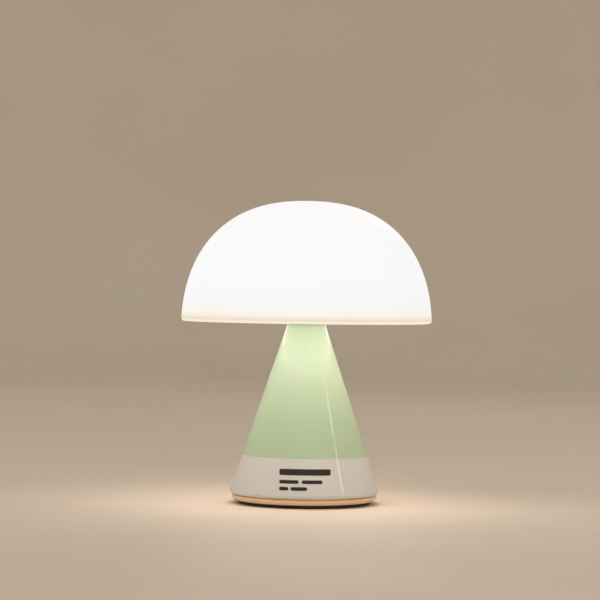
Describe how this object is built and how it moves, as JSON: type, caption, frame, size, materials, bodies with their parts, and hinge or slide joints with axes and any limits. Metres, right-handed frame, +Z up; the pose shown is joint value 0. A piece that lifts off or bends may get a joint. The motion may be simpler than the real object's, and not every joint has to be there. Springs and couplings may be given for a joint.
{
  "type": "table lamp",
  "caption": "Portable rechargeable mushroom-shaped table lamp: opal dome shade that presses down to switch, on a two-tone painted cone with a weighted base.",
  "frame": {"origin": "on the table, at the lamp's axis, under the centre of the foot pad", "axes": "+Z up along the lamp's axis; the charging port faces +Y and the front faces -Y"},
  "size_m": [0.1376, 0.1376, 0.166],
  "materials": {
    "opal_shade": "opal, satin, lit from inside",
    "two_tone_paint": "satin lacquer, light green above and off-white below",
    "offwhite_plastic": "fine moulded satin",
    "white_plastic": "moulded",
    "aluminium_plate": "rolled",
    "white_board": "white solder mask",
    "green_board": "green solder mask",
    "led_phosphor": "cured phosphor",
    "cream_nylon": "moulded nylon",
    "steel_screw": "zinc plated",
    "stamped_steel": "nickel plated",
    "spring_steel": "drawn",
    "ballast_steel": "pickled plate",
    "brass_collar": "turned",
    "black_rubber": "closed-cell",
    "grey_rubber": "matt silicone",
    "black_plastic": "moulded",
    "cell_sleeve": "shrink sleeve",
    "wire_red": "soft insulation",
    "wire_black": "soft insulation",
    "wire_white": "soft insulation",
    "clear_pipe": "clear moulded"
  },
  "bodies": {
    "lamp_base": {"return_spring": "spring_steel", "bump_washer": "black_rubber", "neck_bushing": "white_plastic", "cone_shell": "two_tone_paint", "clamp_ring": "white_plastic", "switch_board": "green_board", "switch_body": "black_plastic", "switch_board_screws": "steel_screw", "battery_tower": "white_plastic", "battery_foam": "black_rubber", "battery_plus_tab": "spring_steel", "battery_cell": "cell_sleeve", "battery_minus_tab": "spring_steel", "battery_lead_red": "wire_red", "battery_lead_black": "wire_black", "tower_screws": "steel_screw", "main_harness": "wire_white", "main_board": "green_board", "board_chips": "black_plastic", "board_inductor": "black_plastic", "harness_socket": "cream_nylon", "battery_socket": "cream_nylon", "usb_socket": "stamped_steel", "usb_tongue": "black_plastic", "charge_diode": "led_phosphor", "charge_light_pipe": "clear_pipe", "port_bezel": "offwhite_plastic", "board_screws": "steel_screw", "ballast_plate": "ballast_steel", "base_cover": "offwhite_plastic", "base_screws": "steel_screw", "foot_pad": "grey_rubber"},
    "shade": {"shade_dome": "opal_shade", "shade_floor": "opal_shade", "shade_hub": "white_plastic", "heat_spreader": "aluminium_plate", "led_board": "white_board", "led_white_chips": "led_phosphor", "led_colour_chips": "white_plastic", "led_connector": "cream_nylon", "led_screws": "steel_screw", "led_wires": "wire_red", "stop_collar": "brass_collar"},
    "switch": {"switch_plunger": "cream_nylon"}
  },
  "joints": [
    {"name": "shade_press", "type": "slide", "parent": "lamp_base", "child": "shade", "axis": [0, 0, -1], "range_m": [0, 0.0012], "stiffness_N_per_m": 2500, "springref_m": -0.0012, "deforming": ["return_spring", "led_wires"]},
    {"name": "switch_press", "type": "slide", "parent": "lamp_base", "child": "switch", "axis": [0, 0, -1], "range_m": [0, 0.0012]}
  ],
  "couplings": [
    {"joint": "switch_press", "follows": "shade_press", "ratio": 1}
  ]
}
